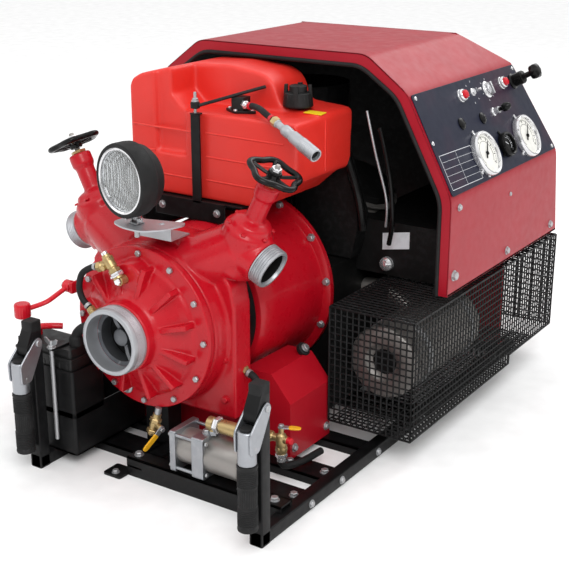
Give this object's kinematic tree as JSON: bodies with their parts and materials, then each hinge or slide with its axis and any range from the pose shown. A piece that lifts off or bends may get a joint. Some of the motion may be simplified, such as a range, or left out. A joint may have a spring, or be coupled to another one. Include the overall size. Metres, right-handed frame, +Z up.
{
  "type": "portable fire pump",
  "caption": "Engine-driven end-suction pump on a low tube frame, with twin angled discharge valves, hooded engine, sloped gauge panel, work lamp, fuel tank and folding carry handles.",
  "frame": {"origin": "on the ground under the middle of the whole machine", "axes": "+Z up; -Y is the front, where the suction inlet faces; +X is the side with the instrument panel and the muffler"},
  "size_m": [0.7836, 1.1355, 0.755],
  "materials": {
    "frame_black": "semi-gloss black paint",
    "rear_red": "gloss red paint",
    "cast_alloy": "cast, shiny edges",
    "grip_rubber": "ribbed rubber",
    "ring_alloy": "machined",
    "stem_steel": "turned",
    "wheel_black": "semi-gloss black",
    "pump_red": "gloss crimson paint on castings",
    "web_iron": "cast grey",
    "impeller_bronze": "cast bronze",
    "bright_steel": "zinc plated",
    "lamp_rubber": "moulded rubber",
    "lamp_glass": "fluted clear glass",
    "engine_black": "black engine paint",
    "muffler_steel": "heat-dulled",
    "guard_black": "black wire mesh",
    "hood_red": "semi-gloss red paint",
    "panel_blue": "satin dark blue",
    "dial_white": "white dial with chrome bezel",
    "needle_black": "matt",
    "dial_black": "black dial",
    "button_red": "gloss",
    "chrome": "polished",
    "knob_black": "moulded",
    "tank_red": "moulded polyethylene, satin",
    "cap_black": "moulded",
    "bracket_black": "black paint",
    "hose_rubber": "smooth rubber",
    "coupling_alloy": "turned and knurled",
    "battery_black": "moulded",
    "primer_steel": "zinc plated and cast",
    "brass": "machined",
    "lever_yellow": "vinyl dipped",
    "lever_red": "gloss red"
  },
  "bodies": {
    "machine": {"base_frame": "frame_black", "rear_panel": "rear_red", "discharge_ring_left": "ring_alloy", "discharge_ring_right": "ring_alloy", "pump_casing": "pump_red", "suction_cover": "pump_red", "bell_housing": "pump_red", "pedestal": "pump_red", "suction_ring": "ring_alloy", "inlet_web": "web_iron", "lamp_plate": "bright_steel", "engine_block": "engine_black", "engine_shroud": "engine_black", "muffler": "muffler_steel", "exhaust_guard": "guard_black", "hood": "hood_red", "instrument_panel": "panel_blue", "gauge_suction": "dial_white", "gauge_discharge": "dial_white", "tachometer": "dial_black", "fuel_tank": "tank_red", "fuel_pickup": "cap_black", "tank_bracket": "bracket_black", "tank_strap": "hose_rubber", "fuel_hose": "hose_rubber", "line_gauge": "hose_rubber", "line_primer": "hose_rubber", "line_drain": "hose_rubber", "fuel_coupling": "coupling_alloy", "battery": "battery_black", "battery_clamp": "bright_steel", "priming_pump": "primer_steel", "drain_valve": "brass", "primer_valve": "brass", "brass_manifold": "brass"},
    "handle_left_body": {"handle_left": "cast_alloy", "grip_left": "grip_rubber"},
    "handle_right_body": {"handle_right": "cast_alloy", "grip_right": "grip_rubber"},
    "wheel_left_body": {"valve_wheel_left": "wheel_black"},
    "wheel_right_body": {"valve_wheel_right": "wheel_black"},
    "stem_left_body": {"valve_stem_left": "stem_steel"},
    "stem_right_body": {"valve_stem_right": "stem_steel"},
    "lamp_yoke_body": {"lamp_yoke": "bright_steel"},
    "lamp_body": {"lamp_housing": "lamp_rubber", "lamp_lens": "lamp_glass"},
    "fuel_cap_body": {"fuel_cap": "cap_black"},
    "needle_suction_body": {"needle_suction": "needle_black"},
    "needle_discharge_body": {"needle_discharge": "needle_black"},
    "start_button_body": {"start_button": "button_red"},
    "stop_button_body": {"stop_button": "button_red"},
    "toggle_body": {"toggle_lever": "chrome"},
    "key_body": {"ignition_key": "chrome"},
    "choke_body": {"choke_knob": "knob_black"},
    "throttle_body": {"throttle_knob": "knob_black"},
    "drain_lever_body": {"drain_lever": "lever_yellow"},
    "primer_lever_body": {"primer_lever": "lever_yellow"},
    "primer_arm_body": {"primer_arm": "lever_red"},
    "impeller_body": {"impeller": "impeller_bronze"}
  },
  "joints": [
    {"name": "handle_left_swing", "type": "hinge", "parent": "machine", "child": "handle_left_body", "pos_m": [-0.21485, -0.5155, 0.255], "axis": [-1, 0, 0], "range_deg": [0, 90]},
    {"name": "handle_right_swing", "type": "hinge", "parent": "machine", "child": "handle_right_body", "pos_m": [0.29715, -0.5155, 0.255], "axis": [-1, 0, 0], "range_deg": [0, 90]},
    {"name": "valve_left_turn", "type": "hinge", "parent": "machine", "child": "wheel_left_body", "pos_m": [-0.21385, -0.2995, 0.44], "axis": [-0.4462, 0, 0.8949], "range_deg": [0, 1800]},
    {"name": "valve_left_lift", "type": "slide", "parent": "machine", "child": "stem_left_body", "axis": [-0.4462, 0, 0.8949], "range_m": [0, 0.02]},
    {"name": "valve_right_turn", "type": "hinge", "parent": "machine", "child": "wheel_right_body", "pos_m": [0.11215, -0.2995, 0.44], "axis": [0.4462, 0, 0.8949], "range_deg": [0, 1800]},
    {"name": "valve_right_lift", "type": "slide", "parent": "machine", "child": "stem_right_body", "axis": [0.4462, 0, 0.8949], "range_m": [0, 0.02]},
    {"name": "lamp_swivel", "type": "hinge", "parent": "machine", "child": "lamp_yoke_body", "pos_m": [-0.04085, -0.4075, 0.484], "axis": [0, 0, 1], "range_deg": [-60, 60]},
    {"name": "lamp_tilt", "type": "hinge", "parent": "lamp_yoke_body", "child": "lamp_body", "pos_m": [-0.04085, -0.4075, 0.492], "axis": [0.9816, -0.1908, 0], "range_deg": [-20, 20]},
    {"name": "fuel_cap_turn", "type": "hinge", "parent": "machine", "child": "fuel_cap_body", "pos_m": [0.08715, -0.0775, 0.657], "axis": [0, 0, 1], "range_deg": [0, 360]},
    {"name": "needle_suction_turn", "type": "hinge", "parent": "machine", "child": "needle_suction_body", "pos_m": [0.35699, 0.1785, 0.54778], "axis": [-0.8848, 0, -0.4659], "range_deg": [0, 270]},
    {"name": "needle_discharge_turn", "type": "hinge", "parent": "machine", "child": "needle_discharge_body", "pos_m": [0.35699, 0.3825, 0.54778], "axis": [-0.8848, 0, -0.4659], "range_deg": [0, 270]},
    {"name": "start_press", "type": "slide", "parent": "machine", "child": "start_button_body", "axis": [-0.8848, 0, -0.4659], "range_m": [0, 0.003], "stiffness_N_per_m": 400},
    {"name": "stop_press", "type": "slide", "parent": "machine", "child": "stop_button_body", "axis": [-0.8848, 0, -0.4659], "range_m": [0, 0.003], "stiffness_N_per_m": 400},
    {"name": "toggle_flip", "type": "hinge", "parent": "machine", "child": "toggle_body", "pos_m": [0.30682, 0.2385, 0.6615], "axis": [0, 1, 0], "range_deg": [-15, 15]},
    {"name": "key_turn", "type": "hinge", "parent": "machine", "child": "key_body", "pos_m": [0.30108, 0.3045, 0.65396], "axis": [-0.8848, 0, -0.4659], "range_deg": [0, 60]},
    {"name": "choke_pull", "type": "slide", "parent": "machine", "child": "choke_body", "axis": [0.8848, 0, 0.4659], "range_m": [0, 0.012]},
    {"name": "throttle_pull", "type": "slide", "parent": "machine", "child": "throttle_body", "axis": [0.8848, 0, 0.4659], "range_m": [0, 0.02]},
    {"name": "drain_turn", "type": "hinge", "parent": "machine", "child": "drain_lever_body", "pos_m": [-0.00285, -0.4075, 0.09], "axis": [-0.9349, 0.2952, 0.1968], "range_deg": [0, 90]},
    {"name": "primer_valve_turn", "type": "hinge", "parent": "machine", "child": "primer_lever_body", "pos_m": [0.21115, -0.3215, 0.114], "axis": [0, 0, 1], "range_deg": [0, 90]},
    {"name": "primer_arm_swing", "type": "hinge", "parent": "machine", "child": "primer_arm_body", "pos_m": [-0.22085, -0.4035, 0.33], "axis": [-1, 0, 0], "range_deg": [0, 50]},
    {"name": "impeller_spin", "type": "hinge", "parent": "machine", "child": "impeller_body", "pos_m": [-0.05085, -0.3775, 0.278], "axis": [0, 1, 0], "continuous": true}
  ],
  "couplings": [
    {"joint": "valve_left_lift", "follows": "valve_left_turn", "m_per_rad": 0.000636},
    {"joint": "valve_right_lift", "follows": "valve_right_turn", "m_per_rad": 0.000636}
  ]
}
